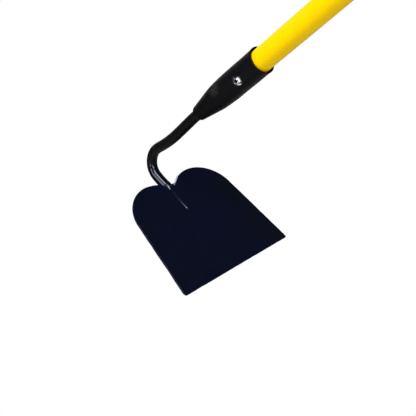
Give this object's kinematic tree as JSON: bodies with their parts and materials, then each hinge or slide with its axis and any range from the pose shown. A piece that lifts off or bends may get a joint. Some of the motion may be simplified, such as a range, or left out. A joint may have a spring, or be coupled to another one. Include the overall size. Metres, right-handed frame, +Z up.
{
  "type": "garden hoe",
  "caption": "Garden hoe: a heart-topped steel blade on a gooseneck shank, riveted in a tapered socket to a long round fibreglass handle.",
  "frame": {"origin": "bottom centre of the bounding box, on the level ground that the hoe rests on with its cutting edge and the rim of its end cap", "axes": "+X along the ground from the blade to the handle's end, +Y across the blade, +Z up"},
  "size_m": [1.556, 0.2024, 0.1965],
  "materials": {
    "blade_paint": "semi-gloss black-blue paint on pressed steel plate, with the edge ground at the back",
    "shank_paint": "black paint on round steel bar, glossy on the bend",
    "socket_paint": "satin, finely grained black coat on drawn steel tube",
    "weld_steel": "weld bead under the same black coat",
    "handle_resin": "smooth yellow glass-fibre resin with a soft sheen",
    "plug_wood": "bare round hardwood plug",
    "cap_vinyl": "matt black vinyl",
    "rivet_zinc": "bright zinc-plated steel"
  },
  "bodies": {
    "root": {"blade": "blade_paint", "shank": "shank_paint", "weld_back_left": "weld_steel", "weld_back_right": "weld_steel", "weld_notch": "weld_steel", "neck_weld": "weld_steel", "socket": "socket_paint", "handle_tube": "handle_resin", "core_plug": "plug_wood", "end_cap": "cap_vinyl", "rivet": "rivet_zinc"}
  },
  "joints": []
}
